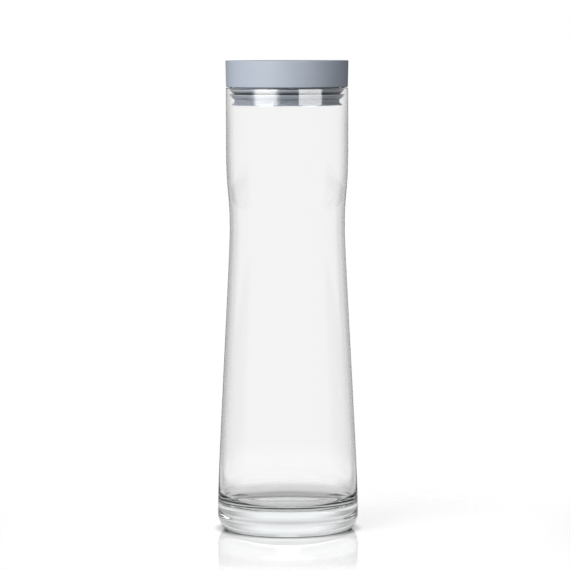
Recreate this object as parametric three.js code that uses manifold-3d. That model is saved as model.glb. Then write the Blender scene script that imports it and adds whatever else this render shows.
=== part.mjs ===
// A one-litre water carafe: a glass bottle with a drawn-in waist and a solid base,
// closed by a push-in lid. Millimetres, +Z up, origin in the middle of the standing ring.

import * as THREE from 'three';
import { mergeVertices } from 'three/addons/utils/BufferGeometryUtils.js';
import Module from 'manifold-3d';

// Glass bottle: outside
const glassHeight = 282.7; // standing ring to rim
const neckRadius = 38.96;
const neckLength = 34.7; // straight stretch below the rim
const shoulderLength = 55; // from the straight neck down to the waist
const waistRadius = 36.73;
const bellyRadius = 45; // widest place, just above the base
const heelHeight = 10; // height of the widest place
const heelRadius = 12.5; // the heel's curve, upright at the widest place
const heelEdge = 1.2; // rounding between that curve and the standing ring
const standingWidth = 6.5; // flat ring that the bottle stands on
const puntDepth = 2; // hollow inside that ring

// Glass bottle: inside
const neckWall = 2.3;
const rimEdge = 0.5; // rounding of the rim, inside and outside
const waistWall = 2.8;
const bellyWall = 3.6;
const baseThickness = 15.4;
const floorFillet = 9;
const floorDish = 0.8; // the floor's middle lies this much lower than its edge

// How softly the wall leaves each station, as a share of the stretch that it belongs to
const neckEase = 0.637;
const waistEaseUp = 0.48;
const waistEaseDown = 0.1;
const bellyEase = 0.165;

// Lid: cap
const seatGap = 0.3; // cap to glass rim
const capHeight = 17;
const capOverhang = 0.2; // the cap's top stands proud of the neck by this much
const capDraft = 0.35; // the cap is this much smaller in radius at its lower edge
const capTopEdge = 0.4;
const capLowerEdge = 0.8;
const capWall = 2.2;
const capRoof = 2;
const beadReach = 0.5; // snap bead inside the skirt, under the core's flange
const beadHeight = 1.15;
const gussetCount = 12;
const gussetThickness = 1.4;
const gussetReach = 3; // how far a gusset covers the flange that it stops
const gussetSlope = 4; // how much further it reaches along the roof

// Lid: stopper core
const flangeLift = 1.6; // flange above the cap's lower face
const flangeThickness = 1.8;
const flangeLead = 0.5; // chamfer that rides over the snap bead
const tubeWall = 1.8;

// Lid: lip seal
const lipGap = 0.3; // lip to glass
const lipCount = 2;
const lipPitch = 3.4;
const lipDrop = 1.2; // top of the first lip below the cap
const lipReach = 2.9; // lip's tip beyond the sleeve
const lipRise = 2.6; // the lip's underside climbs this much to its tip
const lipTip = 0.6; // height of the tip's sealing band
const lipRoot = 1.3;
const sleeveWall = 1.2;
const collarStep = 0.3; // the collar stays clear of the snap bead by this much
const collarLift = 0.1; // collar above the cap's lower face
const footGap = 1.4; // from the last lip's root to the foot's fillet
const footReach = 1.6;
const footThickness = 0.6;

// Lid: base plate
const plateThickness = 1.2;
const plateGrip = 0.8; // the plate's rim covers the sleeve's end by this much
const plateRecess = 0.4;
const plateBorder = 5; // width of the rim round the recess
const spigotWall = 1.4;
const spigotHeight = 3.4;
const catchReach = 0.4; // catch ridge round the spigot, in a groove of the tube
const catchHeight = 1.4;
const catchLift = 1.2; // foot of the ridge above the plate

const fitGap = 0.15; // between moulded pieces that seat on each other

// Facets
const turnSteps = 48;
const samePoint = 1e-6;

// Levels and radii that follow from the sizes above
const capBottom = glassHeight + seatGap;
const capTop = capBottom + capHeight;
const capTopRadius = neckRadius + capOverhang;
const capLowRadius = capTopRadius - capDraft;
const skirtBore = capLowRadius - capWall;
const roofUnderside = capTop - capRoof;

const flangeRadius = skirtBore - fitGap;
const flangeBottom = capBottom + flangeLift;
const flangeTop = flangeBottom + flangeThickness;

const neckBore = neckRadius - neckWall;
const tipRadius = neckBore - lipGap;
const sleeveRadius = tipRadius - lipReach;
const sleeveBore = sleeveRadius - sleeveWall;
const firstRoot = capBottom - lipDrop - lipTip - lipRise;
const lastRoot = firstRoot - (lipCount - 1) * lipPitch;
const footRadius = sleeveRadius + footReach;
const plugBottom = lastRoot - footGap - footReach - footThickness;
const plateTop = plugBottom + plateThickness;
const plateRadius = sleeveBore + plateGrip;

const tubeRadius = sleeveBore - fitGap;
const tubeBore = tubeRadius - tubeWall;
const tubeBottom = plateTop + fitGap;
const spigotRadius = tubeBore - fitGap;
const catchBottom = plateTop + catchLift;

const wasm = await Module();
wasm.setup();

// Outlines are lists of points, radius first and height second, walked with the material on the left

function corner(radius, height) {
  return [new THREE.Vector2(radius, height)];
}

function arc(radius, height, across, up, fromDegrees, toDegrees, steps) {
  const from = THREE.MathUtils.degToRad(fromDegrees);
  const to = THREE.MathUtils.degToRad(toDegrees);
  return new THREE.EllipseCurve(radius, height, across, up, from, to, to < from).getPoints(steps);
}

// A run of wall that is upright at both ends and swings over from one radius to the other
function easedWall(from, to, leave, arrive, steps) {
  const rise = to.y - from.y;
  const fromHandle = new THREE.Vector2(from.x, from.y + rise * leave);
  const toHandle = new THREE.Vector2(to.x, to.y - rise * arrive);
  return new THREE.CubicBezierCurve(from, fromHandle, toHandle, to).getPoints(steps);
}

// A shallow dish from the axis out to its edge
function dish(radius, middleHeight, edgeHeight, steps) {
  const middle = new THREE.Vector2(0, middleHeight);
  const handle = new THREE.Vector2(radius / 2, middleHeight);
  const edge = new THREE.Vector2(radius, edgeHeight);
  return new THREE.QuadraticBezierCurve(middle, handle, edge).getPoints(steps);
}

function revolve(outline) {
  const points = outline.filter((point, i) => i === 0 || point.distanceTo(outline[i - 1]) > samePoint);
  return new THREE.LatheGeometry(points, turnSteps).rotateX(Math.PI / 2);
}

function closedRing(outline) {
  return [...outline, outline[0].clone()];
}

function solidOf(geometry) {
  const bare = geometry.clone();
  bare.deleteAttribute('normal');
  bare.deleteAttribute('uv');
  const merged = mergeVertices(bare);
  return new wasm.Manifold(new wasm.Mesh({
    numProp: 3,
    vertProperties: merged.attributes.position.array,
    triVerts: new Uint32Array(merged.index.array),
  }));
}

function geometryOf(solid) {
  const { vertProperties, triVerts } = solid.getMesh();
  const geometry = new THREE.BufferGeometry();
  geometry.setAttribute('position', new THREE.BufferAttribute(vertProperties, 3));
  geometry.setIndex(new THREE.BufferAttribute(triVerts, 1));
  geometry.computeVertexNormals();
  return geometry;
}

function piece(name, geometry, look) {
  const mesh = new THREE.Mesh(geometry, new THREE.MeshStandardMaterial(look));
  mesh.name = name;
  return mesh;
}

// The bottle: punt, standing ring, heel, belly, waist, neck and rim, then down the inside to the floor
function glassBody() {
  const shoulder = glassHeight - neckLength;
  const waist = shoulder - shoulderLength;
  const heelMiddle = bellyRadius - heelRadius;
  const edgeReach = Math.sqrt((heelRadius - heelEdge) ** 2 - (heelHeight - heelEdge) ** 2);
  const heelTurn = THREE.MathUtils.radToDeg(Math.atan2(heelHeight - heelEdge, edgeReach));
  const standingRadius = heelMiddle + edgeReach;
  const rimFoot = glassHeight - rimEdge;
  const floorWall = bellyRadius - bellyWall;
  const wallFoot = baseThickness + floorFillet;
  const floorEdge = floorWall - floorFillet;

  const belly = new THREE.Vector2(bellyRadius, heelHeight);
  const waistOut = new THREE.Vector2(waistRadius, waist);
  const neckOut = new THREE.Vector2(neckRadius, shoulder);
  const neckIn = new THREE.Vector2(neckBore, shoulder);
  const waistIn = new THREE.Vector2(waistRadius - waistWall, waist);
  const floorIn = new THREE.Vector2(floorWall, wallFoot);

  const outline = [
    ...dish(standingRadius - standingWidth, puntDepth, 0, 3),
    ...arc(standingRadius, heelEdge, heelEdge, heelEdge, 270, 360 - heelTurn, 3),
    ...arc(heelMiddle, heelHeight, heelRadius, heelRadius, 360 - heelTurn, 360, 5),
    ...easedWall(belly, waistOut, bellyEase, waistEaseDown, 10),
    ...easedWall(waistOut, neckOut, waistEaseUp, neckEase, 6),
    ...arc(neckRadius - rimEdge, rimFoot, rimEdge, rimEdge, 0, 90, 3),
    ...arc(neckBore + rimEdge, rimFoot, rimEdge, rimEdge, 90, 180, 3),
    ...easedWall(neckIn, waistIn, neckEase, waistEaseUp, 6),
    ...easedWall(waistIn, floorIn, waistEaseDown, bellyEase, 9),
    ...arc(floorEdge, wallFoot, floorFillet, floorFillet, 360, 270, 6),
    ...dish(floorEdge, baseThickness - floorDish, baseThickness, 2).reverse(),
  ];
  return revolve(outline);
}

// The cap: roof and drafted skirt, with a snap bead inside the skirt's mouth
function capCover() {
  const beadTop = flangeBottom - fitGap;
  const outline = [
    ...corner(0, roofUnderside),
    ...corner(skirtBore, roofUnderside),
    ...corner(skirtBore, beadTop),
    ...corner(skirtBore - beadReach, beadTop - beadReach),
    ...corner(skirtBore, beadTop - beadHeight),
    ...corner(skirtBore, capBottom),
    ...arc(capLowRadius - capLowerEdge, capBottom + capLowerEdge, capLowerEdge, capLowerEdge, 270, 360, 4),
    ...arc(capTopRadius - capTopEdge, capTop - capTopEdge, capTopEdge, capTopEdge, 0, 90, 3),
    ...corner(0, capTop),
  ];
  return revolve(outline);
}

// One gusset in the corner between skirt and roof; its lower end stops the core's flange
function gusset() {
  const rooted = capWall / 2;
  const stop = flangeTop + fitGap;
  const inner = skirtBore - gussetReach;
  const shape = new THREE.Shape();
  shape.moveTo(skirtBore + rooted, stop);
  shape.lineTo(skirtBore + rooted, roofUnderside + capRoof / 2);
  shape.lineTo(inner - gussetSlope, roofUnderside + capRoof / 2);
  shape.lineTo(inner - gussetSlope, roofUnderside);
  shape.lineTo(inner, stop);
  shape.closePath();
  const plate = new THREE.ExtrudeGeometry(shape, { depth: gussetThickness, bevelEnabled: false });
  return plate.translate(0, 0, -gussetThickness / 2).rotateX(Math.PI / 2);
}

function capShell() {
  let shell = solidOf(capCover());
  for (let i = 0; i < gussetCount; i += 1) {
    const turned = gusset().rotateZ((i + 0.5) * 2 * Math.PI / gussetCount);
    shell = shell.add(solidOf(turned));
  }
  return geometryOf(shell);
}

// The core: a tube for the sleeve, hung from a flange that snaps into the cap
function stopperCore() {
  const grooveBottom = catchBottom - fitGap;
  const grooveTop = catchBottom + catchHeight + fitGap;
  const outline = [
    ...corner(tubeBore, tubeBottom),
    ...corner(tubeRadius, tubeBottom),
    ...corner(tubeRadius, flangeBottom),
    ...corner(flangeRadius, flangeBottom),
    ...corner(flangeRadius, flangeTop - flangeLead),
    ...corner(flangeRadius - flangeLead, flangeTop),
    ...corner(tubeBore, flangeTop),
    ...corner(tubeBore, grooveTop),
    ...corner(tubeBore + catchReach, (grooveTop + grooveBottom) / 2),
    ...corner(tubeBore, grooveBottom),
  ];
  return revolve(closedRing(outline));
}

// One sealing lip, raked upwards and thinner at its tip
function lip(root) {
  return [
    ...corner(sleeveRadius, root),
    ...corner(tipRadius, root + lipRise),
    ...corner(tipRadius, root + lipRise + lipTip),
    ...corner(sleeveRadius, root + lipRoot),
  ];
}

// The sleeve: foot flange, lips and collar, with a seat for the plate's rim in its lower end
function lipSeal() {
  const seatTop = plateTop + fitGap;
  const seatRadius = plateRadius + fitGap;
  const footTop = plugBottom + footThickness;
  const collarBottom = capBottom + collarLift;
  const collarTop = flangeBottom - fitGap;
  const collarRadius = skirtBore - beadReach - collarStep;
  const lips = [];
  for (let i = 0; i < lipCount; i += 1) {
    lips.push(...lip(lastRoot + i * lipPitch));
  }
  const outline = [
    ...corner(sleeveBore, seatTop),
    ...corner(seatRadius, seatTop),
    ...corner(seatRadius, plugBottom),
    ...corner(footRadius, plugBottom),
    ...arc(footRadius, footTop + footReach, footReach, footReach, 270, 180, 4),
    ...lips,
    ...corner(sleeveRadius, collarBottom),
    ...corner(collarRadius, collarBottom),
    ...corner(collarRadius, collarTop),
    ...corner(sleeveBore, collarTop),
  ];
  return revolve(closedRing(outline));
}

// The plate: a disc with a recessed face below and a spigot with a catch ridge above
function basePlate() {
  const spigotTop = plateTop + spigotHeight;
  const spigotBore = spigotRadius - spigotWall;
  const recessRadius = plateRadius - plateBorder;
  const outline = [
    ...corner(0, plugBottom + plateRecess),
    ...corner(recessRadius, plugBottom + plateRecess),
    ...corner(recessRadius + plateRecess, plugBottom),
    ...corner(plateRadius, plugBottom),
    ...corner(plateRadius, plateTop),
    ...corner(spigotRadius, plateTop),
    ...corner(spigotRadius, catchBottom),
    ...corner(spigotRadius + catchReach, catchBottom + catchHeight / 2),
    ...corner(spigotRadius, catchBottom + catchHeight),
    ...corner(spigotRadius, spigotTop),
    ...corner(spigotBore, spigotTop),
    ...corner(spigotBore, plateTop),
    ...corner(0, plateTop),
  ];
  return revolve(outline);
}

const clearGlass = { color: 0xeef3ee, roughness: 0.03, metalness: 0, transparent: true, opacity: 0.3 };
const mouldedCap = { color: 0xa9b1bd, roughness: 0.55, metalness: 0 };
const mouldedCore = { color: 0xa0a7b2, roughness: 0.5, metalness: 0 };
const greySilicone = { color: 0xb0b7c2, roughness: 0.6, metalness: 0 };

const lid = new THREE.Group();
lid.add(piece('cap_shell', capShell(), mouldedCap));
lid.add(piece('stopper_core', stopperCore(), mouldedCore));
lid.add(piece('lip_seal', lipSeal(), greySilicone));
lid.add(piece('base_plate', basePlate(), mouldedCore));

const carafe = new THREE.Group();
carafe.add(piece('glass_body', glassBody(), clearGlass));
carafe.add(lid);

export default carafe;
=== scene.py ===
"""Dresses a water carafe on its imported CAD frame: a clear glass bottle, a moulded push-in lid with a
silicone lip seal, and a white studio. Metres, +Z up, origin in the middle of the standing ring."""

import math

import bmesh
import bpy
from bpy.props import FloatProperty, FloatVectorProperty, IntProperty, PointerProperty
from mathutils import Matrix, Quaternion, Vector
from mathutils.geometry import interpolate_bezier


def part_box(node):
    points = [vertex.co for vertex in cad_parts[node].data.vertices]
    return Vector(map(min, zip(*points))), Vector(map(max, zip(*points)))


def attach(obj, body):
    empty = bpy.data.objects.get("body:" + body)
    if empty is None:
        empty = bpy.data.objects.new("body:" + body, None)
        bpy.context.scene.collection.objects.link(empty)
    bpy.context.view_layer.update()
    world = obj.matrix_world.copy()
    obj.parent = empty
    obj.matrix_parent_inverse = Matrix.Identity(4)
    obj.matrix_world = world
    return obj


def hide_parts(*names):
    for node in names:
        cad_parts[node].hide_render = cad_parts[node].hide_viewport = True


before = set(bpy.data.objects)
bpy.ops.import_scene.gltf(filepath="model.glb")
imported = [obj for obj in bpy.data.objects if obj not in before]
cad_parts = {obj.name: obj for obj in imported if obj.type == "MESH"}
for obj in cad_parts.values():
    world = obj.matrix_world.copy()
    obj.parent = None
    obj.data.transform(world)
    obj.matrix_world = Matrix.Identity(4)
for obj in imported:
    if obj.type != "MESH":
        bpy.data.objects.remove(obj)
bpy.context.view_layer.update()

bl_info = {
    "name": "Water Carafe",
    "version": (1, 0, 0),
    "blender": (4, 5, 0),
    "location": "3D View > Sidebar > Carafe",
    "description": "Builds a glass water carafe with a push-in lid on its CAD frame, and a white studio",
    "category": "Add Mesh",
}

MM = 0.001

# A cubic curve whose handles lie this far along both tangents is a quarter of an ellipse
QUARTER_HANDLE = 0.5523
SAME_POINT = 0.001 * MM

# Steps along the curves of the outlines
BREAK_STEPS = 3
EDGE_STEPS = 6
CREASE_STEPS = 8
LIP_STEPS = 12
DISH_STEPS = 12
BEND_STEPS = 16
SHOULDER_STEPS = 20
NECK_STEPS = 24
WALL_STEPS = 32
TABLE_STEPS = 128

# Handles of the free curves: shares of the radius, and of a lip's reach and rise from that end
PUNT_SWING = 0.6
FLOOR_SWING = 0.5
LIP_UNDER_ROOT = (0.35, 0.2)
LIP_UNDER_EDGE = (0.25, 0.35)
LIP_OVER_EDGE = (0.15, 0.05)
LIP_OVER_ROOT = 0.5

# Rays that a shader sends out to find how open a place is
OPENNESS_RAYS = 8
# A ray that has passed more faces of glass than this is inside the bottle
OUTER_FACES = 2.5

_, GLASS_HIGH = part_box("glass_body")
CAP_LOW, CAP_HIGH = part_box("cap_shell")
CORE_LOW, CORE_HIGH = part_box("stopper_core")
SEAL_LOW, SEAL_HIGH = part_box("lip_seal")
PLATE_LOW, PLATE_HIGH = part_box("base_plate")


def length(name, description, default):
    """A size in metres."""
    return FloatProperty(name=name, description=description, default=default, precision=5, unit="LENGTH")


def share(name, description, default):
    """A share of something, from 0 to 1."""
    return FloatProperty(name=name, description=description, default=default, min=0, max=1, subtype="FACTOR")


def level(name, description, default):
    """A brightness, where one is white."""
    return FloatProperty(name=name, description=description, default=default, min=0, soft_max=2)


def watts(name, description, default):
    """A lamp's power."""
    return FloatProperty(name=name, description=description, default=default, unit="POWER")


def degrees(name, description, default):
    """An angle, written in degrees."""
    return FloatProperty(name=name, description=description, default=math.radians(default), subtype="ANGLE")


def count(name, description, default, least):
    """A number of like things."""
    return IntProperty(name=name, description=description, default=default, min=least)


def span(name, description, first, last):
    """Two values between which something changes."""
    return FloatVectorProperty(name=name, description=description, default=(first, last), size=2)


def bearings(name, description, first, last):
    """Two bearings off the middle of the backdrop, written in degrees, between which something changes."""
    ends = (math.radians(first), math.radians(last))
    return FloatVectorProperty(name=name, description=description, default=ends, size=2, unit="ROTATION")


def linear(hex_colour):
    """An sRGB hex colour as linear red, green, blue and alpha."""
    channels = [int(hex_colour[i:i + 2], 16) / 255 for i in (1, 3, 5)]
    curve = [c / 12.92 if c <= 0.04045 else ((c + 0.055) / 1.055) ** 2.4 for c in channels]
    return (*curve, 1.0)


def colour(name, description, hex_colour):
    """A colour that a user picks, kept linear as Blender's colour properties are."""
    return FloatVectorProperty(
        name=name, description=description, default=linear(hex_colour), size=4, min=0, max=1, subtype="COLOR"
    )


class BottleSizes(bpy.types.PropertyGroup):
    """Sizes of the glass bottle."""

    height: length("Height", "Standing ring to rim", GLASS_HIGH.z)
    belly_radius: length("Belly radius", "Widest place, just above the base", GLASS_HIGH.x)
    neck_radius: length("Neck radius", "Outside of the straight neck", 38.96 * MM)
    neck_length: length("Neck length", "Straight stretch below the rim", 34.7 * MM)
    shoulder_length: length("Shoulder length", "From the straight neck down to the waist", 55 * MM)
    waist_radius: length("Waist radius", "Outside of the narrowest place", 36.73 * MM)
    heel_height: length("Heel height", "Height of the widest place", 10 * MM)
    heel_radius: length("Heel radius", "Curve of the heel, upright at the widest place", 12.5 * MM)
    heel_edge: length("Heel edge", "Rounding between the heel and the standing ring", 1.2 * MM)
    standing_width: length("Standing ring", "Width of the flat ring under the base", 6.5 * MM)
    punt_depth: length("Punt depth", "Hollow inside the standing ring", 2 * MM)
    rim_edge: length("Rim edge", "Rounding of the rim, inside and outside", 0.5 * MM)
    neck_wall: length("Neck wall", "Glass thickness at the neck", 2.3 * MM)
    waist_wall: length("Waist wall", "Glass thickness at the waist", 2.8 * MM)
    belly_wall: length("Belly wall", "Glass thickness at the belly", 3.6 * MM)
    base_thickness: length("Base thickness", "Solid glass under the floor", 15.4 * MM)
    floor_fillet: length("Floor fillet", "Radius between wall and floor inside", 9 * MM)
    floor_dish: length("Floor dish", "How much lower the floor's middle lies", 0.8 * MM)
    neck_ease: share("Neck ease", "How softly the wall leaves the neck", 0.637)
    waist_ease_up: share("Waist ease up", "How softly the wall leaves the waist upwards", 0.48)
    waist_ease_down: share("Waist ease down", "How softly the wall leaves the waist downwards", 0.1)
    belly_ease: share("Belly ease", "How softly the wall leaves the belly", 0.165)
    turn_steps: count("Turn steps", "Faces round the bottle", 224, 24)


class LidSizes(bpy.types.PropertyGroup):
    """Sizes of the lid's pieces."""

    cap_draft: length("Cap draft", "How much smaller in radius the cap is at its lower edge", 0.35 * MM)
    cap_top_edge: length("Cap top edge", "Rounding of the cap's upper edge", 0.4 * MM)
    cap_lower_edge: length("Cap lower edge", "Rounding of the cap's lower edge", 0.8 * MM)
    cap_wall: length("Cap wall", "Thickness of the cap's skirt", 2.2 * MM)
    cap_roof: length("Cap roof", "Thickness of the cap's top", 2 * MM)
    bead_reach: length("Bead reach", "Snap bead inside the cap's mouth", 0.5 * MM)
    bead_height: length("Bead height", "Height of the snap bead", 1.15 * MM)
    gusset_count: count("Gussets", "Stiffeners inside the cap", 12, 0)
    gusset_thickness: length("Gusset thickness", "Thickness of one stiffener", 1.4 * MM)
    gusset_reach: length("Gusset reach", "How far a stiffener covers the flange", 3 * MM)
    gusset_slope: length("Gusset slope", "How much further it reaches along the roof", 4 * MM)
    flange_thickness: length("Flange thickness", "Flange of the stopper core", 1.8 * MM)
    flange_lead: length("Flange lead", "Chamfer that rides over the snap bead", 0.5 * MM)
    tube_wall: length("Tube wall", "Wall of the stopper core's tube", 1.8 * MM)
    lip_gap: length("Lip gap", "Between a lip and the glass in the frame", 0.3 * MM)
    lip_film: length("Lip film", "Air left between a lip's band and the bore it seals", 0.08 * MM)
    lip_count: count("Lips", "Sealing lips on the sleeve", 2, 1)
    lip_pitch: length("Lip pitch", "From one lip to the next", 3.4 * MM)
    lip_drop: length("Lip drop", "Top of the first lip below the cap", 1.2 * MM)
    lip_reach: length("Lip reach", "From the sleeve out to the lip's tip in the frame", 2.9 * MM)
    lip_rise: length("Lip rise", "How much a lip climbs to its tip", 2.6 * MM)
    lip_tip: length("Lip tip", "Height of the sealing band", 0.6 * MM)
    lip_round: length("Lip rounding", "How far the lip's edge swells outwards", 0.15 * MM)
    lip_root: length("Lip root", "Thickness of a lip at the sleeve", 1.3 * MM)
    sleeve_wall: length("Sleeve wall", "Thickness of the silicone sleeve", 1.2 * MM)
    collar_step: length("Collar step", "The collar stays clear of the snap bead by this much", 0.3 * MM)
    collar_lift: length("Collar lift", "Collar above the cap's lower face", 0.1 * MM)
    foot_reach: length("Foot reach", "Foot flange beyond the sleeve", 1.6 * MM)
    foot_thickness: length("Foot thickness", "Edge of the foot flange", 0.6 * MM)
    plate_thickness: length("Plate thickness", "Disc that closes the stopper", 1.2 * MM)
    plate_recess: length("Plate recess", "Sunk face under the plate", 0.4 * MM)
    plate_border: length("Plate border", "Rim round the sunk face", 5 * MM)
    spigot_wall: length("Spigot wall", "Ring on the plate that plugs into the tube", 1.4 * MM)
    catch_reach: length("Catch reach", "Ridge round the spigot", 0.4 * MM)
    catch_height: length("Catch height", "Height of the ridge", 1.4 * MM)
    catch_lift: length("Catch lift", "Foot of the ridge above the plate", 1.2 * MM)
    fit_gap: length("Fit gap", "Between moulded pieces that seat on each other", 0.15 * MM)
    edge_break: length("Edge break", "Rounding of the mouldings' small edges", 0.15 * MM)
    turn_steps: count("Turn steps", "Faces round the lid", 160, 24)


class FinishColours(bpy.types.PropertyGroup):
    """Colours of the finishes."""

    glass_tint: colour("Glass tint", "What is left of white light by thick glass", "#E4EEF0")
    cap_grey: colour("Cap grey", "Blue-grey of the cap", "#A9B1BD")
    cap_grey_low: colour("Cap grey, darker", "Darker flow marks of the cap", "#A1A9B5")
    core_grey: colour("Core grey", "Grey of the hidden mouldings", "#A0A7B2")
    core_grey_low: colour("Core grey, darker", "Darker marks of the hidden mouldings", "#98A0AB")
    seal_grey: colour("Seal grey", "Grey of the silicone", "#CAD3E0")
    seal_bloom: colour("Seal bloom", "Paler bloom on the silicone", "#D1D9E5")
    # Painted shade: dark grey painted on the silicone deep in the grooves and towards the sleeve
    seal_shade: colour("Seal hollows", "Silicone in the grooves, without bloom", "#323946")
    floor_white: colour("Floor white", "Studio floor", "#DADADA")


class FinishTextures(bpy.types.PropertyGroup):
    """Sizes of the marks in the finishes."""

    glass_density: FloatProperty(
        name="Glass density", description="How strongly a metre of glass gathers the tint", default=3.5, min=0
    )
    ripple_width: length("Ripple width", "Ripples in the blown wall", 18 * MM)
    ripple_draw: share("Ripple draw", "Scale of the ripples along the axis, where they are drawn out", 0.25)
    ripple_depth: length("Ripple depth", "Height of the ripples", 0.015 * MM)
    flow_width: length("Flow width", "Flow marks in the moulded plastics", 14 * MM)
    grain_gloss: share("Grain gloss", "How much the grain changes the roughness either way", 0.05)
    grain_range: span("Grain range", "Part of the noise that the grain makes use of", 0.3, 0.7)
    cap_roughness: share("Cap roughness", "Satin of the cap", 0.5)
    cap_grain: length("Cap grain", "Spark-eroded grain of the cap", 0.4 * MM)
    cap_grain_depth: length("Cap grain depth", "Height of the cap's grain", 0.012 * MM)
    core_roughness: share("Core roughness", "Sheen of the hidden mouldings", 0.42)
    core_grain: length("Core grain", "Grain of the hidden mouldings", 0.8 * MM)
    core_grain_depth: length("Core grain depth", "Height of that grain", 0.01 * MM)
    bloom_width: length("Bloom width", "Patches of bloom on the silicone", 5 * MM)
    # Painted shade: share of the lit grey left at the sleeve, the rest painted dark
    sleeve_lit_share: share("Thin bloom", "What is left of the bloom at the sleeve", 0.65)
    # Painted shade in the grooves: how near other silicone must be, and the openness range over which the
    # dark grey is painted in
    groove_reach: length("Groove reach", "How near other silicone is in a groove", 4 * MM)
    groove_shade_range: span("Groove opening", "How open a bare groove is, and a lip in full bloom", 0.38, 0.85)
    matt_width: length("Matt width", "Texture of the silicone's tool", 0.5 * MM)
    matt_depth: length("Matt depth", "Height of that texture", 0.02 * MM)


class StudioSettings(bpy.types.PropertyGroup):
    """Camera, table and lamps."""

    lens: FloatProperty(name="Lens", description="Focal length in millimetres", default=198.04, unit="CAMERA")
    camera_distance: length("Camera distance", "Camera in front of the bottle's axis", 2.0)
    camera_height: length("Camera height", "Camera above the floor", 0.3119)
    aim_height: length("Aim height", "Where the camera's axis meets the bottle's axis", 0.15664)
    aim_side: length("Aim side", "How far the camera's axis passes beside the bottle's axis", -1.55 * MM)
    camera_roll: degrees("Camera roll", "Lean of the camera", -0.136)
    floor_radius: length("Floor radius", "Round studio table", 0.3)
    fade_inner: length("Fade start", "Radius at which the table starts to fade into the backdrop", 75 * MM)
    fade_outer: length("Fade end", "Radius at which the table has faded away", 240 * MM)
    clear_radius: length("Clear radius", "Part of the table that is seen through the base", 36 * MM)
    crevice_reach: length("Crevice reach", "How near the bottle is where it shades the table", 6.5 * MM)
    crevice_open: span("Crevice opening", "How open the table is in full shade, and in the light", 0.2, 0.95)
    crevice_level: share("Crevice", "What is left of the light in a crevice", 0.05)
    shade_back: length("Shade offset", "How far back the shade behind the base lies", 14 * MM)
    shade_inner: length("Shade core", "Radius within which the shade is full", 42 * MM)
    shade_outer: length("Shade reach", "Radius at which the shade ends", 56 * MM)
    shade_level: share("Shade", "What is left of the light in the shade", 0.64)
    shade_width: share("Shade width", "Width of the shade as a share of its depth", 0.75)
    floor_glow: level("Floor glow", "Light of its own by which the floor reaches white", 0.33)
    lamp_distance: length("Lamp distance", "Lamps from the bottle's axis", 0.8)
    lamp_foot: length("Lamp foot", "Lower edge of the lamps above the floor", 0.2555)
    left_bearing: degrees("Left lamp bearing", "From the camera's side towards the right", -41)
    left_width: length("Left lamp width", "Soft box on the left", 0.92)
    left_tall: length("Left lamp height", "Soft box on the left", 0.42)
    left_power: watts("Left lamp", "Soft box on the left", 8.8)
    left_fade: share("Left lamp fade", "How far in the soft box fades towards its sides", 0.28)
    right_bearing: degrees("Right lamp bearing", "From the camera's side towards the right", 45)
    right_width: length("Right lamp width", "Strip light on the right", 0.7)
    right_tall: length("Right lamp height", "Strip light on the right", 0.04)
    right_power: watts("Right lamp", "Strip light on the right", 0.5)
    right_fade: share("Right lamp fade", "How far in the strip light fades towards its sides", 0.02)


class BackdropSettings(bpy.types.PropertyGroup):
    """What glass, polished surfaces and matt surfaces see round them. A height is the upward part of a
    direction whose length is one."""

    back_level: level("Backdrop", "White backdrop as it shows through glass", 0.94)
    flag_level: level("Flags", "Dark flags beside the white backdrop", 0.72)
    flag_heights: span("Flag heights", "Where the flags set in, above and below the horizon", 0.012, 0.027)
    flag_bearings: bearings("Flag bearings", "From the backdrop to the flags", 8, 20)
    side_level: level("Sides", "White sides of the studio", 0.9)
    side_bearings: bearings("Side bearings", "From the flags to the sides", 30, 45)
    low_flag_level: level("Low flags", "Dark flags low down, further apart", 0.45)
    low_heights: span("Low heights", "Where the low flags set in", 0.128, 0.142)
    low_flag_bearings: bearings("Low flag bearings", "From the backdrop to the low flags", 12, 48)
    low_side_bearings: bearings("Low side bearings", "From the low flags to the sides", 80, 100)
    white_heights: span("White heights", "Where the flags end", 0.17, 0.22)
    roof_level: level("Roof", "Studio above the white backdrop", 0.6)
    roof_heights: span("Roof heights", "From the backdrop to the roof", 0.1, 0.45)
    rear_gloss: level("Rear gloss", "What polished surfaces mirror beside the backdrop", 0.05)
    rear_bearings: bearings("Rear bearings", "From the backdrop to what stands beside it", 4, 7)
    left_gloss: level("Left gloss", "What polished surfaces mirror on the left", 0.25)
    right_gloss: level("Right gloss", "What polished surfaces mirror on the right", 0.1)
    gloss_turn: span("Gloss turn", "From the left to the right", -0.1, 0.1)
    gloss_bearings: bearings("Gloss bearings", "From beside the backdrop to the sides", 40, 60)
    room_gloss: level("Room gloss", "What polished surfaces mirror round the camera", 0.2)
    room_bearings: bearings("Room bearings", "From the sides to the room", 143, 152)
    fill_bearing: degrees("Fill bearing", "Side that the fill comes from, to the left of the camera", 6)
    fill_lift: degrees("Fill lift", "How high the fill comes from", 48)
    fill_low: level("Fill, far side", "Plain light on matt surfaces from the far side", 0.02)
    fill_high: level("Fill, lit side", "Plain light on matt surfaces from the lit side", 0.9)
    fill_turn: span("Fill turn", "From the far side to the lit side", -0.3, 1.0)
    fill_under: share("Fill from below", "How much of the fill comes from below as well", 0.2)
    under_heights: span("Fill heights", "From below to the full fill", -0.6, 0.1)


def run(start, start_handle, end_handle, end, steps):
    """Points of a cubic curve from start to end."""
    return interpolate_bezier(start, start_handle, end_handle, end, steps + 1)


def quarter(start, meet, end, steps):
    """Points of a quarter of an ellipse whose end tangents meet at a point."""
    return run(start, start.lerp(meet, QUARTER_HANDLE), end.lerp(meet, QUARTER_HANDLE), end, steps)


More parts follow.
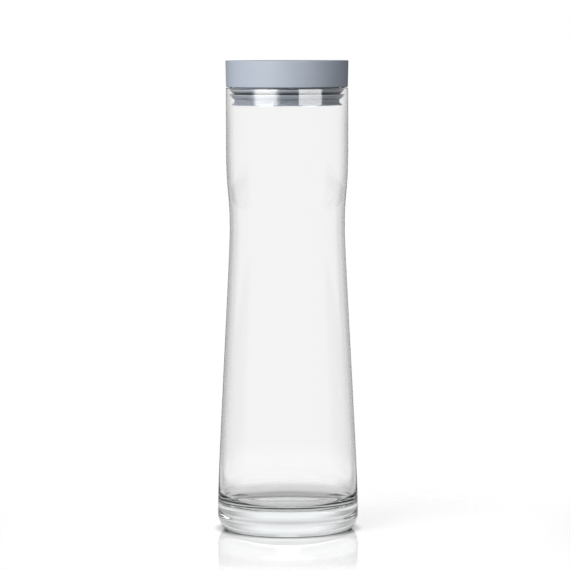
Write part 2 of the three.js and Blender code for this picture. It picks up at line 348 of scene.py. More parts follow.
def swung_wall(start, end, leave, arrive, steps):
    """A run of wall that is upright at both ends and swings over from one radius to the other."""
    rise = end.z - start.z
    start_handle = Vector((start.x, 0, start.z + rise * leave))
    end_handle = Vector((end.x, 0, end.z - rise * arrive))
    return run(start, start_handle, end_handle, end, steps)


def straight(start, end, steps):
    """Points along a straight stretch, without its ends, so that its shading stays even beside a rounding."""
    return [start.lerp(end, i / steps) for i in range(1, steps)]


def arc(middle, radius, begins, ends, steps):
    """Points of a circle's arc between two angles."""
    angles = [begins + (ends - begins) * i / steps for i in range(steps + 1)]
    return [middle + radius * Vector((math.cos(angle), 0, math.sin(angle))) for angle in angles]


def at(radius, height):
    """A point of an outline."""
    return Vector((radius, 0, height))


def spun(name, outline, turn_steps, closed, edge_break=0.0, broken=()):
    """A piece turned about the upright axis from its outline, with the listed corners rounded first."""
    bm = bmesh.new()
    verts = [bm.verts.new(point) for point in outline]
    pairs = list(zip(verts, verts[1:]))
    if closed:
        pairs.append((verts[-1], verts[0]))
    for pair in pairs:
        bm.edges.new(pair)
    if broken:
        bmesh.ops.bevel(
            bm, geom=[verts[i] for i in broken], offset=edge_break, offset_type="OFFSET",
            segments=BREAK_STEPS, profile=0.5, affect="VERTICES", material=-1, clamp_overlap=True,
        )
    bmesh.ops.remove_doubles(bm, verts=bm.verts, dist=SAME_POINT)
    bmesh.ops.spin(
        bm, geom=bm.verts[:] + bm.edges[:], cent=(0, 0, 0), axis=(0, 0, 1), angle=math.tau,
        steps=turn_steps, use_merge=True,
    )
    bmesh.ops.remove_doubles(bm, verts=bm.verts, dist=SAME_POINT)
    bmesh.ops.recalc_face_normals(bm, faces=bm.faces)
    return finished(name, bm)


def finished(name, bm):
    """The bmesh as a smooth-shaded object in the scene."""
    for face in bm.faces:
        face.smooth = True
    mesh = bpy.data.meshes.new(name)
    bm.to_mesh(mesh)
    bm.free()
    piece = bpy.data.objects.new(name, mesh)
    bpy.context.scene.collection.objects.link(piece)
    return piece


def even_shading(piece):
    """Keeps flat faces flat to the eye beside their rounded edges."""
    modifier = piece.modifiers.new("even_shading", "WEIGHTED_NORMAL")
    modifier.keep_sharp = True


def stands_for(piece, node, body, material):
    """Puts the piece in the place of its CAD node."""
    piece.data.materials.append(material)
    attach(piece, body)
    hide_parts(node)


def add_node(tree, kind, values=None):
    """Adds a node and gives its properties and inputs their values; a value that is a socket is linked."""
    node = tree.nodes.new(kind)
    for name, value in (values or {}).items():
        if isinstance(value, bpy.types.NodeSocket):
            tree.links.new(value, node.inputs[name])
        elif isinstance(name, str) and hasattr(node, name):
            setattr(node, name, value)
        else:
            node.inputs[name].default_value = value
    return node


def maths(tree, operation, *values):
    """The result of a sum with values."""
    node = add_node(tree, "ShaderNodeMath", {"operation": operation, **dict(enumerate(values))})
    return node.outputs["Value"]


def vector_maths(tree, operation, *values):
    """The node that does a sum with vectors."""
    return add_node(tree, "ShaderNodeVectorMath", {"operation": operation, **dict(enumerate(values))})


def mapped(tree, value, begins, ends, first=0.0, last=1.0, curve="LINEAR"):
    """A value that goes from first to last while another goes from begins to ends."""
    node = add_node(tree, "ShaderNodeMapRange", {
        "interpolation_type": curve, "Value": value, "From Min": begins, "From Max": ends,
        "To Min": first, "To Max": last,
    })
    return node.outputs["Result"]


def between(tree, part, first, second):
    """A value that lies a part of the way from one to another."""
    return add_node(tree, "ShaderNodeMix", {"data_type": "FLOAT", 0: part, 2: first, 3: second}).outputs[0]


def tinted(tree, part, first, second):
    """A colour that lies a part of the way from one to another."""
    return add_node(tree, "ShaderNodeMix", {"data_type": "RGBA", 0: part, 6: first, 7: second}).outputs[2]


def noise(tree, place, width, detail, roughness=0.5):
    """Noise whose features are about as wide as given."""
    values = {"Vector": place, "Scale": 1 / width, "Detail": detail, "Roughness": roughness}
    return add_node(tree, "ShaderNodeTexNoise", values).outputs["Fac"]


def relief(tree, height, strength, depth):
    """The normal of a surface with relief of this depth."""
    values = {"Height": height, "Strength": strength, "Distance": depth}
    return add_node(tree, "ShaderNodeBump", values).outputs["Normal"]


def new_material(name):
    """An empty material with its node tree, its output node and its object coordinates."""
    material = bpy.data.materials.new(name)
    material.use_nodes = True
    tree = material.node_tree
    tree.nodes.clear()
    output = add_node(tree, "ShaderNodeOutputMaterial")
    return material, tree, output, add_node(tree, "ShaderNodeTexCoord").outputs["Object"]


def blown_soda_glass(colours, textures):
    """Soda-lime glass, blown and fire polished: clear, with slow ripples and a faint tint in thick places."""
    material, tree, output, place = new_material("soda_lime_glass_blown")
    # The ripples run up the wall, as the gather was drawn out, so they are stretched along the axis
    drawn = add_node(tree, "ShaderNodeMapping", {"Vector": place, "Scale": (1, 1, textures.ripple_draw)})
    ripple = noise(tree, drawn.outputs["Vector"], textures.ripple_width, detail=1.0, roughness=0.4)
    shader = add_node(tree, "ShaderNodeBsdfPrincipled", {
        "Base Color": (1, 1, 1, 1), "Roughness": 0.0, "IOR": 1.52, "Transmission Weight": 1.0,
        "Normal": relief(tree, ripple, strength=0.35, depth=textures.ripple_depth),
    })
    depth = add_node(tree, "ShaderNodeVolumeAbsorption", {
        "Color": colours.glass_tint[:], "Density": textures.glass_density,
    })
    tree.links.new(shader.outputs["BSDF"], output.inputs["Surface"])
    tree.links.new(depth.outputs["Volume"], output.inputs["Volume"])
    return material


def moulded_plastic(name, pale, dark, roughness, grain, grain_depth, textures):
    """A moulded plastic: soft flow marks in its colour, a fine spark-eroded grain and a satin sheen."""
    material, tree, output, place = new_material(name)
    flow = noise(tree, place, textures.flow_width, detail=2.0)
    eroded = noise(tree, place, grain, detail=2.0, roughness=0.6)
    smooth, rough = roughness - textures.grain_gloss, roughness + textures.grain_gloss
    shader = add_node(tree, "ShaderNodeBsdfPrincipled", {
        "IOR": 1.5, "Specular IOR Level": 0.35,
        "Base Color": tinted(tree, flow, pale[:], dark[:]),
        "Roughness": mapped(tree, eroded, *textures.grain_range, smooth, rough),
        "Normal": relief(tree, eroded, strength=0.5, depth=grain_depth),
    })
    tree.links.new(shader.outputs["BSDF"], output.inputs["Surface"])
    return material


def cap_plastic(colours, textures):
    """ABS, moulded in a spark-eroded tool: satin blue-grey."""
    return moulded_plastic(
        "abs_moulded_satin", colours.cap_grey, colours.cap_grey_low,
        textures.cap_roughness, textures.cap_grain, textures.cap_grain_depth, textures,
    )


def core_plastic(colours, textures):
    """Polypropylene, moulded plain: nearly the same grey, a little waxier than the cap."""
    return moulded_plastic(
        "polypropylene_moulded_plain", colours.core_grey, colours.core_grey_low,
        textures.core_roughness, textures.core_grain, textures.core_grain_depth, textures,
    )


def moulded_silicone(colours, textures, groove, crest):
    """Silicone rubber, moulded in a matt tool: dull, with a pale bloom in patches, and painted shade
    darkening it towards the sleeve and deep in the grooves.
    """
    material, tree, output, place = new_material("silicone_rubber_moulded_matt")
    bloom = noise(tree, place, textures.bloom_width, detail=3.0, roughness=0.6)
    tone = tinted(tree, bloom, colours.seal_grey[:], colours.seal_bloom[:])
    # Painted shade: the silicone is painted darker towards the sleeve and darker still deep in the grooves,
    # where the lips keep light out; the bloom patches only vary the lit grey
    flat = vector_maths(tree, "MULTIPLY", place, (1, 1, 0)).outputs["Vector"]
    radius = vector_maths(tree, "LENGTH", flat).outputs["Value"]
    tip_lit_share = mapped(tree, radius, groove, crest, textures.sleeve_lit_share)
    openness = add_node(tree, "ShaderNodeAmbientOcclusion", {
        "samples": OPENNESS_RAYS, "only_local": True, "Distance": textures.groove_reach,
    })
    groove_lit_share = mapped(tree, openness.outputs["AO"], *textures.groove_shade_range)
    seal_lit_share = maths(tree, "MULTIPLY", groove_lit_share, tip_lit_share)
    matt = noise(tree, place, textures.matt_width, detail=1.0)
    shader = add_node(tree, "ShaderNodeBsdfPrincipled", {
        "Roughness": 0.45, "IOR": 1.41, "Specular IOR Level": 0.12,
        # The painted shade grey shows where the lit share is low
        "Base Color": tinted(tree, seal_lit_share, colours.seal_shade[:], tone),
        "Normal": relief(tree, matt, strength=0.4, depth=textures.matt_depth),
    })
    tree.links.new(shader.outputs["BSDF"], output.inputs["Surface"])
    return material


def bottle_outline(s):
    """Punt, standing ring, heel, belly, waist, neck and rim, then down the inside to the floor."""
    shoulder = s.height - s.neck_length
    waist = shoulder - s.shoulder_length
    heel_middle = s.belly_radius - s.heel_radius
    edge_reach = math.sqrt((s.heel_radius - s.heel_edge) ** 2 - (s.heel_height - s.heel_edge) ** 2)
    heel_turn = math.atan2(s.heel_height - s.heel_edge, edge_reach)
    standing = heel_middle + edge_reach
    punt_edge = standing - s.standing_width
    bore = s.neck_radius - s.neck_wall
    rim_foot = s.height - s.rim_edge
    floor_wall = s.belly_radius - s.belly_wall
    floor_edge = floor_wall - s.floor_fillet
    wall_foot = s.base_thickness + s.floor_fillet
    floor_middle = s.base_thickness - s.floor_dish

    belly = at(s.belly_radius, s.heel_height)
    waist_out = at(s.waist_radius, waist)
    neck_out = at(s.neck_radius, shoulder)
    neck_in = at(bore, shoulder)
    waist_in = at(s.waist_radius - s.waist_wall, waist)
    floor_in = at(floor_wall, wall_foot)
    floor_out = at(floor_edge, s.base_thickness)

    punt_swing = punt_edge * PUNT_SWING
    punt = run(
        at(0, s.punt_depth), at(punt_swing, s.punt_depth), at(punt_swing, 0), at(punt_edge, 0), BEND_STEPS
    )
    heel = [
        *arc(at(standing, s.heel_edge), s.heel_edge, -math.pi / 2, -heel_turn, CREASE_STEPS),
        *arc(at(heel_middle, s.heel_height), s.heel_radius, -heel_turn, 0, BEND_STEPS),
    ]
    lower_wall = swung_wall(belly, waist_out, s.belly_ease, s.waist_ease_down, WALL_STEPS)
    upper_wall = swung_wall(waist_out, neck_out, s.waist_ease_up, s.neck_ease, SHOULDER_STEPS)
    rim_top_out = at(s.neck_radius - s.rim_edge, s.height)
    rim_top_in = at(bore + s.rim_edge, s.height)
    rim_out = quarter(at(s.neck_radius, rim_foot), at(s.neck_radius, s.height), rim_top_out, EDGE_STEPS)
    rim_in = quarter(rim_top_in, at(bore, s.height), at(bore, rim_foot), EDGE_STEPS)
    # A point close to each rounding keeps the wall beside it upright to the eye
    hold = Vector((0, 0, s.rim_edge / 5))
    neck_up = [*straight(neck_out, rim_out[0], NECK_STEPS), rim_out[0] - hold]
    neck_down = [rim_in[-1] - hold, *straight(rim_in[-1], neck_in, NECK_STEPS)]
    upper_bore = swung_wall(neck_in, waist_in, s.neck_ease, s.waist_ease_up, SHOULDER_STEPS)
    lower_bore = swung_wall(waist_in, floor_in, s.waist_ease_down, s.belly_ease, WALL_STEPS)
    fillet = quarter(floor_in, at(floor_wall, s.base_thickness), floor_out, BEND_STEPS)
    floor_swing = floor_edge * FLOOR_SWING
    floor = run(
        floor_out, at(floor_swing, s.base_thickness), at(floor_swing, floor_middle), at(0, floor_middle),
        DISH_STEPS,
    )
    outside = [*punt, *heel, *lower_wall, *upper_wall, *neck_up, *rim_out]
    inside = [*rim_in, *neck_down, *upper_bore, *lower_bore, *fillet, *floor]
    return outside + inside


class CARAFE_OT_glass_bottle(bpy.types.Operator):
    """Turns the glass bottle with its drawn-in waist, solid base and punt"""

    bl_idname = "carafe.glass_bottle"
    bl_label = "Glass Bottle"

    def execute(self, context):
        carafe = context.scene.carafe
        piece = spun("glass_bottle", bottle_outline(carafe.bottle), carafe.bottle.turn_steps, closed=False)
        glass = blown_soda_glass(carafe.colours, carafe.textures)
        stands_for(piece, "glass_body", "carafe", glass)
        return {"FINISHED"}


def cap_bore(lid):
    """Inner radius of the cap's skirt."""
    return CAP_HIGH.x - lid.cap_draft - lid.cap_wall


def cap_cover(lid):
    """Roof and drafted skirt, with a snap bead inside the skirt's mouth."""
    bore = cap_bore(lid)
    low_radius = CAP_HIGH.x - lid.cap_draft
    roof = CAP_HIGH.z - lid.cap_roof
    bead_top = CORE_HIGH.z - lid.flange_thickness - lid.fit_gap
    low_edge_in = at(low_radius - lid.cap_lower_edge, CAP_LOW.z)
    low_edge_out = at(low_radius, CAP_LOW.z + lid.cap_lower_edge)
    top_edge_out = at(CAP_HIGH.x, CAP_HIGH.z - lid.cap_top_edge)
    top_edge_in = at(CAP_HIGH.x - lid.cap_top_edge, CAP_HIGH.z)
    outline = [
        at(0, roof),
        at(bore, roof),
        at(bore, bead_top),
        at(bore - lid.bead_reach, bead_top - lid.bead_reach),
        at(bore, bead_top - lid.bead_height),
        at(bore, CAP_LOW.z),
        *quarter(low_edge_in, at(low_radius, CAP_LOW.z), low_edge_out, EDGE_STEPS),
        *quarter(top_edge_out, at(CAP_HIGH.x, CAP_HIGH.z), top_edge_in, EDGE_STEPS),
        at(0, CAP_HIGH.z),
    ]
    return spun("lid_cap", outline, lid.turn_steps, closed=False, edge_break=lid.edge_break, broken=(3, 5))


def cap_gussets(lid):
    """Stiffeners in the corner between skirt and roof, as one helper mesh."""
    bore = cap_bore(lid)
    roof = CAP_HIGH.z - lid.cap_roof
    stop = CORE_HIGH.z + lid.fit_gap
    inner = bore - lid.gusset_reach
    slope_end = inner - lid.gusset_slope
    rooted = bore + lid.cap_wall / 2
    top = roof + lid.cap_roof / 2
    corners = ((rooted, stop), (rooted, top), (slope_end, top), (slope_end, roof), (inner, stop))
    bm = bmesh.new()
    for i in range(lid.gusset_count):
        verts = [bm.verts.new((radius, -lid.gusset_thickness / 2, height)) for radius, height in corners]
        side = bm.faces.new(verts)
        grown = bmesh.ops.extrude_face_region(bm, geom=[side])["geom"]
        far = [item for item in grown if isinstance(item, bmesh.types.BMVert)]
        bmesh.ops.translate(bm, verts=far, vec=(0, lid.gusset_thickness, 0))
        turn = (i + 0.5) * math.tau / lid.gusset_count
        bmesh.ops.rotate(bm, verts=verts + far, cent=(0, 0, 0), matrix=Matrix.Rotation(turn, 3, "Z"))
    bmesh.ops.recalc_face_normals(bm, faces=bm.faces)
    return finished("lid_cap_gussets", bm)


class CARAFE_OT_lid_cap(bpy.types.Operator):
    """Moulds the lid's cap, with its snap bead and stiffeners inside"""

    bl_idname = "carafe.lid_cap"
    bl_label = "Lid Cap"

    def execute(self, context):
        carafe = context.scene.carafe
        piece = cap_cover(carafe.lid)
        gussets = cap_gussets(carafe.lid)
        union = piece.modifiers.new("gussets", "BOOLEAN")
        union.operation = "UNION"
        union.solver = "EXACT"
        union.object = gussets
        with context.temp_override(object=piece, active_object=piece):
            bpy.ops.object.modifier_apply(modifier=union.name)
        bpy.data.objects.remove(gussets)
        even_shading(piece)
        stands_for(piece, "cap_shell", "lid", cap_plastic(carafe.colours, carafe.textures))
        return {"FINISHED"}


def sleeve_radius(lid):
    """Outside of the sleeve between its lips."""
    return SEAL_HIGH.x - lid.lip_reach


def tube_radius(lid):
    """Outside of the tube that carries the sleeve."""
    return sleeve_radius(lid) - lid.sleeve_wall - lid.fit_gap


def sealing_lip(root, sleeve, tip, lid):
    """One lip, raked upwards, with a rounded edge."""
    edge = tip - lid.lip_round
    reach = edge - sleeve
    band_low = root + lid.lip_rise
    band_top = band_low + lid.lip_tip
    root_top = root + lid.lip_root

    def from_root(shares):
        """A handle, by shares of the lip's reach and rise."""
        return at(sleeve + shares[0] * reach, root + shares[1] * lid.lip_rise)

    def from_edge(height, shares):
        """A handle, by the same shares back from the lip's edge."""
        return at(edge - shares[0] * reach, height - shares[1] * lid.lip_rise)

    under = run(
        at(sleeve, root), from_root(LIP_UNDER_ROOT), from_edge(band_low, LIP_UNDER_EDGE), at(edge, band_low),
        LIP_STEPS,
    )
    # These handles put the middle of the rounded edge just at the tip
    swell = tip + lid.lip_round / 3
    third = lid.lip_tip / 3
    band = run(
        at(edge, band_low), at(swell, band_low + third), at(swell, band_top - third), at(edge, band_top),
        LIP_STEPS,
    )
    over = run(
        at(edge, band_top), from_edge(band_top, LIP_OVER_EDGE),
        at(sleeve + LIP_OVER_ROOT * reach, root_top), at(sleeve, root_top), CREASE_STEPS,
    )
    return [*under, *band, *over]


class CARAFE_OT_seal_sleeve(bpy.types.Operator):
    """Moulds the silicone sleeve with its lips, foot flange and collar"""

    bl_idname = "carafe.seal_sleeve"
    bl_label = "Seal Sleeve"

    def execute(self, context):
        carafe = context.scene.carafe
        lid = carafe.lid
        sleeve = sleeve_radius(lid)
        bore = sleeve - lid.sleeve_wall
        tip = SEAL_HIGH.x + lid.lip_gap - lid.lip_film
        first_root = CAP_LOW.z - lid.lip_drop - lid.lip_tip - lid.lip_rise
        last_root = first_root - (lid.lip_count - 1) * lid.lip_pitch
        seat_top = SEAL_LOW.z + lid.plate_thickness + lid.fit_gap
        seat_radius = PLATE_HIGH.x + lid.fit_gap
        foot_radius = sleeve + lid.foot_reach
        foot_top = SEAL_LOW.z + lid.foot_thickness
        hollow_top = at(sleeve, foot_top + lid.foot_reach)
        collar_low = CAP_LOW.z + lid.collar_lift
        collar = cap_bore(lid) - lid.bead_reach - lid.collar_step
        lips = []
        for i in range(lid.lip_count):
            lips += sealing_lip(last_root + i * lid.lip_pitch, sleeve, tip, lid)
        outline = [
            at(bore, seat_top),
            at(seat_radius, seat_top),
            at(seat_radius, SEAL_LOW.z),
            at(foot_radius, SEAL_LOW.z),
            *quarter(at(foot_radius, foot_top), at(sleeve, foot_top), hollow_top, CREASE_STEPS),
            *lips,
            at(sleeve, collar_low),
            at(collar, collar_low),
            at(collar, SEAL_HIGH.z),
            at(bore, SEAL_HIGH.z),
        ]
        piece = spun(
            "seal_sleeve", outline, lid.turn_steps, closed=True, edge_break=lid.edge_break, broken=(3, 4)
        )
        even_shading(piece)
        silicone = moulded_silicone(carafe.colours, carafe.textures, sleeve, tip)
        stands_for(piece, "lip_seal", "lid", silicone)
        return {"FINISHED"}


class CARAFE_OT_core_tube(bpy.types.Operator):
    """Moulds the tube that carries the sleeve and snaps into the cap"""

    bl_idname = "carafe.core_tube"
    bl_label = "Core Tube"

    def execute(self, context):
        carafe = context.scene.carafe
        lid = carafe.lid
        tube = tube_radius(lid)
        bore = tube - lid.tube_wall
        flange_low = CORE_HIGH.z - lid.flange_thickness
        groove_low = PLATE_LOW.z + lid.plate_thickness + lid.catch_lift - lid.fit_gap
        groove_high = groove_low + lid.catch_height + 2 * lid.fit_gap
        outline = [
            at(bore, CORE_LOW.z),
            at(tube, CORE_LOW.z),
            at(tube, flange_low),
            at(CORE_HIGH.x, flange_low),
            at(CORE_HIGH.x, CORE_HIGH.z - lid.flange_lead),
            at(CORE_HIGH.x - lid.flange_lead, CORE_HIGH.z),
            at(bore, CORE_HIGH.z),
            at(bore, groove_high),
            at(bore + lid.catch_reach, (groove_high + groove_low) / 2),
            at(bore, groove_low),
        ]
        piece = spun(
            "core_tube", outline, lid.turn_steps, closed=True, edge_break=lid.edge_break,
            broken=(0, 1, 3, 6, 8),
        )
        even_shading(piece)
        plastic = core_plastic(carafe.colours, carafe.textures)
        stands_for(piece, "stopper_core", "lid", plastic)
        return {"FINISHED"}


class CARAFE_OT_plug_plate(bpy.types.Operator):
    """Moulds the disc that closes the stopper from below"""

    bl_idname = "carafe.plug_plate"
    bl_label = "Plug Plate"

    def execute(self, context):
        carafe = context.scene.carafe
        lid = carafe.lid
        low = PLATE_LOW.z
        top = low + lid.plate_thickness
        spigot = tube_radius(lid) - lid.tube_wall - lid.fit_gap
        spigot_bore = spigot - lid.spigot_wall
        catch_low = top + lid.catch_lift
        recess = PLATE_HIGH.x - lid.plate_border
        outline = [
            at(0, low + lid.plate_recess),
            at(recess, low + lid.plate_recess),
            at(recess + lid.plate_recess, low),
            at(PLATE_HIGH.x, low),
            at(PLATE_HIGH.x, top),
            at(spigot, top),
            at(spigot, catch_low),
            at(spigot + lid.catch_reach, catch_low + lid.catch_height / 2),
            at(spigot, catch_low + lid.catch_height),
            at(spigot, PLATE_HIGH.z),
            at(spigot_bore, PLATE_HIGH.z),
            at(spigot_bore, top),
            at(0, top),
        ]
        piece = spun(
            "plug_plate", outline, lid.turn_steps, closed=False, edge_break=lid.edge_break,
            broken=(2, 3, 4, 7, 9, 10),
        )
        even_shading(piece)
        plastic = core_plastic(carafe.colours, carafe.textures)
        stands_for(piece, "base_plate", "lid", plastic)
        return {"FINISHED"}


def seen_rays(tree, path):
    """One for rays that show the studio to the eye, straight, mirrored or through glass, and nothing for rays
    that come off a matt surface."""
    polished = maths(tree, "MAXIMUM", path.outputs["Is Glossy Ray"], path.outputs["Is Transmission Ray"])
    shown = maths(tree, "MAXIMUM", path.outputs["Is Camera Ray"], polished)
    unscattered = maths(tree, "LESS_THAN", path.outputs["Diffuse Depth"], 0.5)
    return maths(tree, "MULTIPLY", shown, unscattered)


def stepped(tree, bearing, first, changes):
    """A level that changes with a bearing; each change has the bearings that it spans and its last level."""
    reached = first
    for (begins, ends), settled in changes:
        reached = mapped(tree, bearing, begins, ends, reached, settled, curve="SMOOTHSTEP")
    return reached


def seen_through(tree, backdrop, axes, off_axis):
    """What glass shows: white behind the bottle, with dark flags on either side that draw its edges."""
    height = maths(tree, "ABSOLUTE", axes.outputs["Z"])
    flag = mapped(tree, height, *backdrop.flag_heights, backdrop.back_level, backdrop.flag_level)
    round_about = stepped(tree, off_axis, backdrop.back_level, (
        (backdrop.flag_bearings, flag),
        (backdrop.side_bearings, backdrop.side_level),
    ))
    low_down = stepped(tree, off_axis, 1.0, (
        (backdrop.low_flag_bearings, backdrop.low_flag_level),
        (backdrop.low_side_bearings, backdrop.side_level),
    ))
    lowness = mapped(tree, height, *backdrop.low_heights, curve="SMOOTHSTEP")
    # Light that rises has come off the underside of the base
    risen = maths(tree, "GREATER_THAN", axes.outputs["Z"], 0.0)
    flags = between(tree, maths(tree, "MAXIMUM", lowness, risen), round_about, low_down)
    white = mapped(tree, height, *backdrop.white_heights, curve="SMOOTHSTEP")
    # The backdrop ends overhead, which greys the middle of the base where its heel bends light upwards
    overhead = mapped(tree, axes.outputs["Z"], *backdrop.roof_heights, 1.0, backdrop.roof_level)
    return maths(tree, "MULTIPLY", maths(tree, "MAXIMUM", flags, white), overhead)


def seen_mirrored(tree, backdrop, axes, off_axis):
    """What polished surfaces mirror: the white backdrop, darker sides and the room round the camera."""
    sides = mapped(tree, axes.outputs["X"], *backdrop.gloss_turn, backdrop.left_gloss, backdrop.right_gloss)
    return stepped(tree, off_axis, 1.0, (
        (backdrop.rear_bearings, backdrop.rear_gloss),
        (backdrop.gloss_bearings, sides),
        (backdrop.room_bearings, backdrop.room_gloss),
    ))


def matt_fill(tree, backdrop, axes, direction):
    """Plain light for matt surfaces, mostly from the front and from above."""
    level_reach = math.cos(backdrop.fill_lift)
    lit_side = (
        -level_reach * math.sin(backdrop.fill_bearing),
        -level_reach * math.cos(backdrop.fill_bearing),
        math.sin(backdrop.fill_lift),
    )
    facing = vector_maths(tree, "DOT_PRODUCT", direction, lit_side).outputs["Value"]
    fill = mapped(tree, facing, *backdrop.fill_turn, backdrop.fill_low, backdrop.fill_high)
    below = mapped(tree, axes.outputs["Z"], *backdrop.under_heights, backdrop.fill_under)
    return maths(tree, "MULTIPLY", fill, below)


def studio_backdrop(backdrop):
    """The studio round the table, for rays that show it and for rays that only light matt surfaces."""
    world = bpy.data.worlds.new("studio_backdrop")
    bpy.context.scene.world = world
    world.use_nodes = True
    tree = world.node_tree
    tree.nodes.clear()
    output = add_node(tree, "ShaderNodeOutputWorld")
    direction = add_node(tree, "ShaderNodeTexCoord").outputs["Generated"]
    path = add_node(tree, "ShaderNodeLightPath")
    axes = add_node(tree, "ShaderNodeSeparateXYZ", {"Vector": direction})
    bearing = maths(tree, "ARCTAN2", axes.outputs["X"], axes.outputs["Y"])
    off_axis = maths(tree, "ABSOLUTE", bearing)
    through = seen_through(tree, backdrop, axes, off_axis)
    mirrored = seen_mirrored(tree, backdrop, axes, off_axis)
    polished = between(tree, path.outputs["Is Reflection Ray"], through, mirrored)
    eye = maths(tree, "MAXIMUM", polished, path.outputs["Is Camera Ray"])
    plain = matt_fill(tree, backdrop, axes, direction)
    light = add_node(tree, "ShaderNodeBackground", {
        "Color": (1, 1, 1, 1), "Strength": between(tree, seen_rays(tree, path), plain, eye),
    })
    tree.links.new(light.outputs["Background"], output.inputs["Surface"])


def studio_floor(studio, colours):
    """A round table top that keeps the shadow and a faint reflection, and fades into the backdrop."""
    bm = bmesh.new()
    bmesh.ops.create_circle(bm, cap_ends=True, segments=TABLE_STEPS, radius=studio.floor_radius)
    floor = finished("studio_floor", bm)
    material, tree, output, place = new_material("acrylic_sheet_white")
    path = add_node(tree, "ShaderNodeLightPath")
    # Where the heel closes down on the sheet no light gets in
    openness = add_node(tree, "ShaderNodeAmbientOcclusion", {
        "samples": OPENNESS_RAYS, "Distance": studio.crevice_reach,
    })
    crevice = mapped(tree, openness.outputs["AO"], *studio.crevice_open, studio.crevice_level)
    # The light from the front leaves a soft shade behind the base
    narrowed, set_back = (1 / studio.shade_width, 1, 1), (0, -studio.shade_back, 0)
    in_shade = vector_maths(tree, "MULTIPLY_ADD", place, narrowed, set_back).outputs["Vector"]
    shade_reach = vector_maths(tree, "LENGTH", in_shade).outputs["Value"]
    shade = mapped(
        tree, shade_reach, studio.shade_inner, studio.shade_outer, studio.shade_level, curve="SMOOTHSTEP"
    )
    # The clear base lets light through to the sheet under it
    reach = vector_maths(tree, "LENGTH", place).outputs["Value"]
    under_glass = maths(tree, "LESS_THAN", reach, studio.clear_radius)
    lit_share = maths(tree, "MAXIMUM", maths(tree, "MULTIPLY", crevice, shade), under_glass)
    shown = maths(tree, "MULTIPLY", seen_rays(tree, path), studio.floor_glow)
    sheet = add_node(tree, "ShaderNodeBsdfPrincipled", {
        "Base Color": tinted(tree, lit_share, (0, 0, 0, 1), colours.floor_white[:]),
        "Roughness": 0.06, "Specular IOR Level": 0.16,
        "Emission Color": (1, 1, 1, 1), "Emission Strength": maths(tree, "MULTIPLY", shown, lit_share),
    })
    beyond = add_node(tree, "ShaderNodeBsdfTransparent")
    fade = mapped(tree, reach, studio.fade_inner, studio.fade_outer, curve="SMOOTHSTEP")
    shader = add_node(tree, "ShaderNodeMixShader", {
        0: fade, 1: sheet.outputs["BSDF"], 2: beyond.outputs["BSDF"],
    })
    tree.links.new(shader.outputs["Shader"], output.inputs["Surface"])
    floor.data.materials.append(material)


def lamp_glow(data, fade):
    """Lets a lamp fade towards its two sides, and keeps its image out of the inside of the glass."""
    data.use_nodes = True
    tree = data.node_tree
    tree.nodes.clear()
    output = add_node(tree, "ShaderNodeOutputLight")
    place = add_node(tree, "ShaderNodeNewGeometry").outputs["Parametric"]
    across = add_node(tree, "ShaderNodeSeparateXYZ", {"Vector": place}).outputs["X"]
    # Places across the lamp run from 0 to 1
    middle = 0.5
    off_middle = maths(tree, "ABSOLUTE", maths(tree, "SUBTRACT", across, middle))
    soft = mapped(tree, off_middle, middle - fade, middle, 1.0, 0.0, curve="SMOOTHSTEP")
    path = add_node(tree, "ShaderNodeLightPath")
    outside = maths(tree, "LESS_THAN", path.outputs["Transmission Depth"], OUTER_FACES)
    shown = maths(tree, "MAXIMUM", outside, path.outputs["Diffuse Depth"])
    kept = maths(tree, "MINIMUM", shown, 1.0)
    light = add_node(tree, "ShaderNodeEmission", {"Strength": maths(tree, "MULTIPLY", soft, kept)})
    tree.links.new(light.outputs["Emission"], output.inputs["Surface"])


def lamp(name, bearing, distance, foot, width, tall, power, fade):
    """A flat lamp that faces the bottle's axis; its bearing is from the camera's side, to the right."""
    data = bpy.data.lights.new(name, "AREA")
    data.shape = "RECTANGLE"
    data.size = width
    data.size_y = tall
    data.energy = power
    lamp_glow(data, fade)
    box = bpy.data.objects.new(name, data)
    box.location = (distance * math.sin(bearing), -distance * math.cos(bearing), foot + tall / 2)
    aim = Vector((-box.location.x, -box.location.y, 0))
    box.rotation_mode = "QUATERNION"
    box.rotation_quaternion = aim.to_track_quat("-Z", "Y")
    box.visible_camera = False
    bpy.context.scene.collection.objects.link(box)


def studio_camera(studio):
    """A long lens a little above the lid, looking slightly down."""
    data = bpy.data.cameras.new("studio_camera")
    data.lens = studio.lens
    data.sensor_width = 36
    data.clip_end = 50
    camera = bpy.data.objects.new("studio_camera", data)
    camera.location = (studio.aim_side, -studio.camera_distance, studio.camera_height)
    aim = Vector((studio.aim_side, 0, studio.aim_height)) - camera.location
    camera.rotation_mode = "QUATERNION"
    camera.rotation_quaternion = aim.to_track_quat("-Z", "Y") @ Quaternion((0, 0, 1), studio.camera_roll)
    bpy.context.scene.collection.objects.link(camera)
    bpy.context.scene.camera = camera


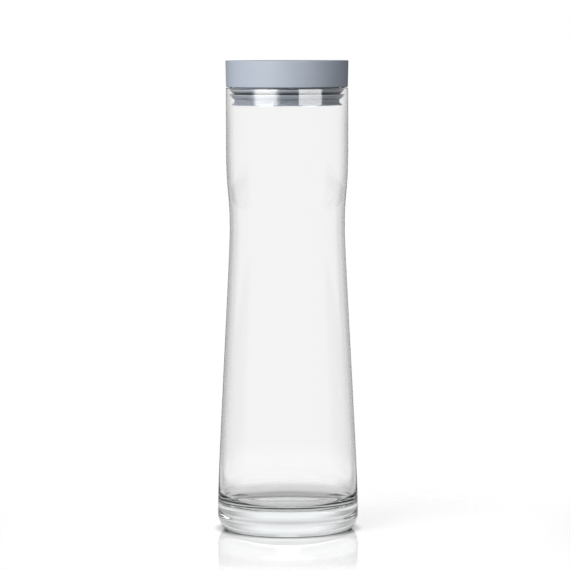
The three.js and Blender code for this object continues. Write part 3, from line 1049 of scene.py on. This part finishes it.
class CARAFE_OT_studio(bpy.types.Operator):
    """Sets up the floor, the backdrop, the lamps and the camera"""

    bl_idname = "carafe.studio"
    bl_label = "Studio"

    def execute(self, context):
        carafe = context.scene.carafe
        studio = carafe.studio
        studio_floor(studio, carafe.colours)
        studio_backdrop(carafe.backdrop)
        lamp(
            "soft_box_left", studio.left_bearing, studio.lamp_distance, studio.lamp_foot,
            studio.left_width, studio.left_tall, studio.left_power, studio.left_fade,
        )
        lamp(
            "strip_light_right", studio.right_bearing, studio.lamp_distance, studio.lamp_foot,
            studio.right_width, studio.right_tall, studio.right_power, studio.right_fade,
        )
        studio_camera(studio)
        context.scene.view_settings.view_transform = "Standard"
        return {"FINISHED"}


class CarafeSettings(bpy.types.PropertyGroup):
    """Everything that a user may change about the carafe."""

    bottle: PointerProperty(type=BottleSizes)
    lid: PointerProperty(type=LidSizes)
    colours: PointerProperty(type=FinishColours)
    textures: PointerProperty(type=FinishTextures)
    studio: PointerProperty(type=StudioSettings)
    backdrop: PointerProperty(type=BackdropSettings)


PIECE_OPERATORS = (
    CARAFE_OT_glass_bottle,
    CARAFE_OT_lid_cap,
    CARAFE_OT_seal_sleeve,
    CARAFE_OT_core_tube,
    CARAFE_OT_plug_plate,
    CARAFE_OT_studio,
)


class CARAFE_PT_sidebar(bpy.types.Panel):
    """Lists the pieces, in the order in which they are made"""

    bl_idname = "CARAFE_PT_sidebar"
    bl_label = "Water Carafe"
    bl_space_type = "VIEW_3D"
    bl_region_type = "UI"
    bl_category = "Carafe"

    def draw(self, context):
        for operator in PIECE_OPERATORS:
            self.layout.operator(operator.bl_idname)


CLASSES = (
    BottleSizes,
    LidSizes,
    FinishColours,
    FinishTextures,
    StudioSettings,
    BackdropSettings,
    CarafeSettings,
    *PIECE_OPERATORS,
    CARAFE_PT_sidebar,
)


def register():
    for cls in CLASSES:
        bpy.utils.register_class(cls)
    bpy.types.Scene.carafe = PointerProperty(type=CarafeSettings)


def unregister():
    del bpy.types.Scene.carafe
    for cls in reversed(CLASSES):
        bpy.utils.unregister_class(cls)


def main():
    register()
    bpy.ops.carafe.glass_bottle()
    bpy.ops.carafe.lid_cap()
    bpy.ops.carafe.seal_sleeve()
    bpy.ops.carafe.core_tube()
    bpy.ops.carafe.plug_plate()
    bpy.ops.carafe.studio()


if __name__ == "__main__":
    main()
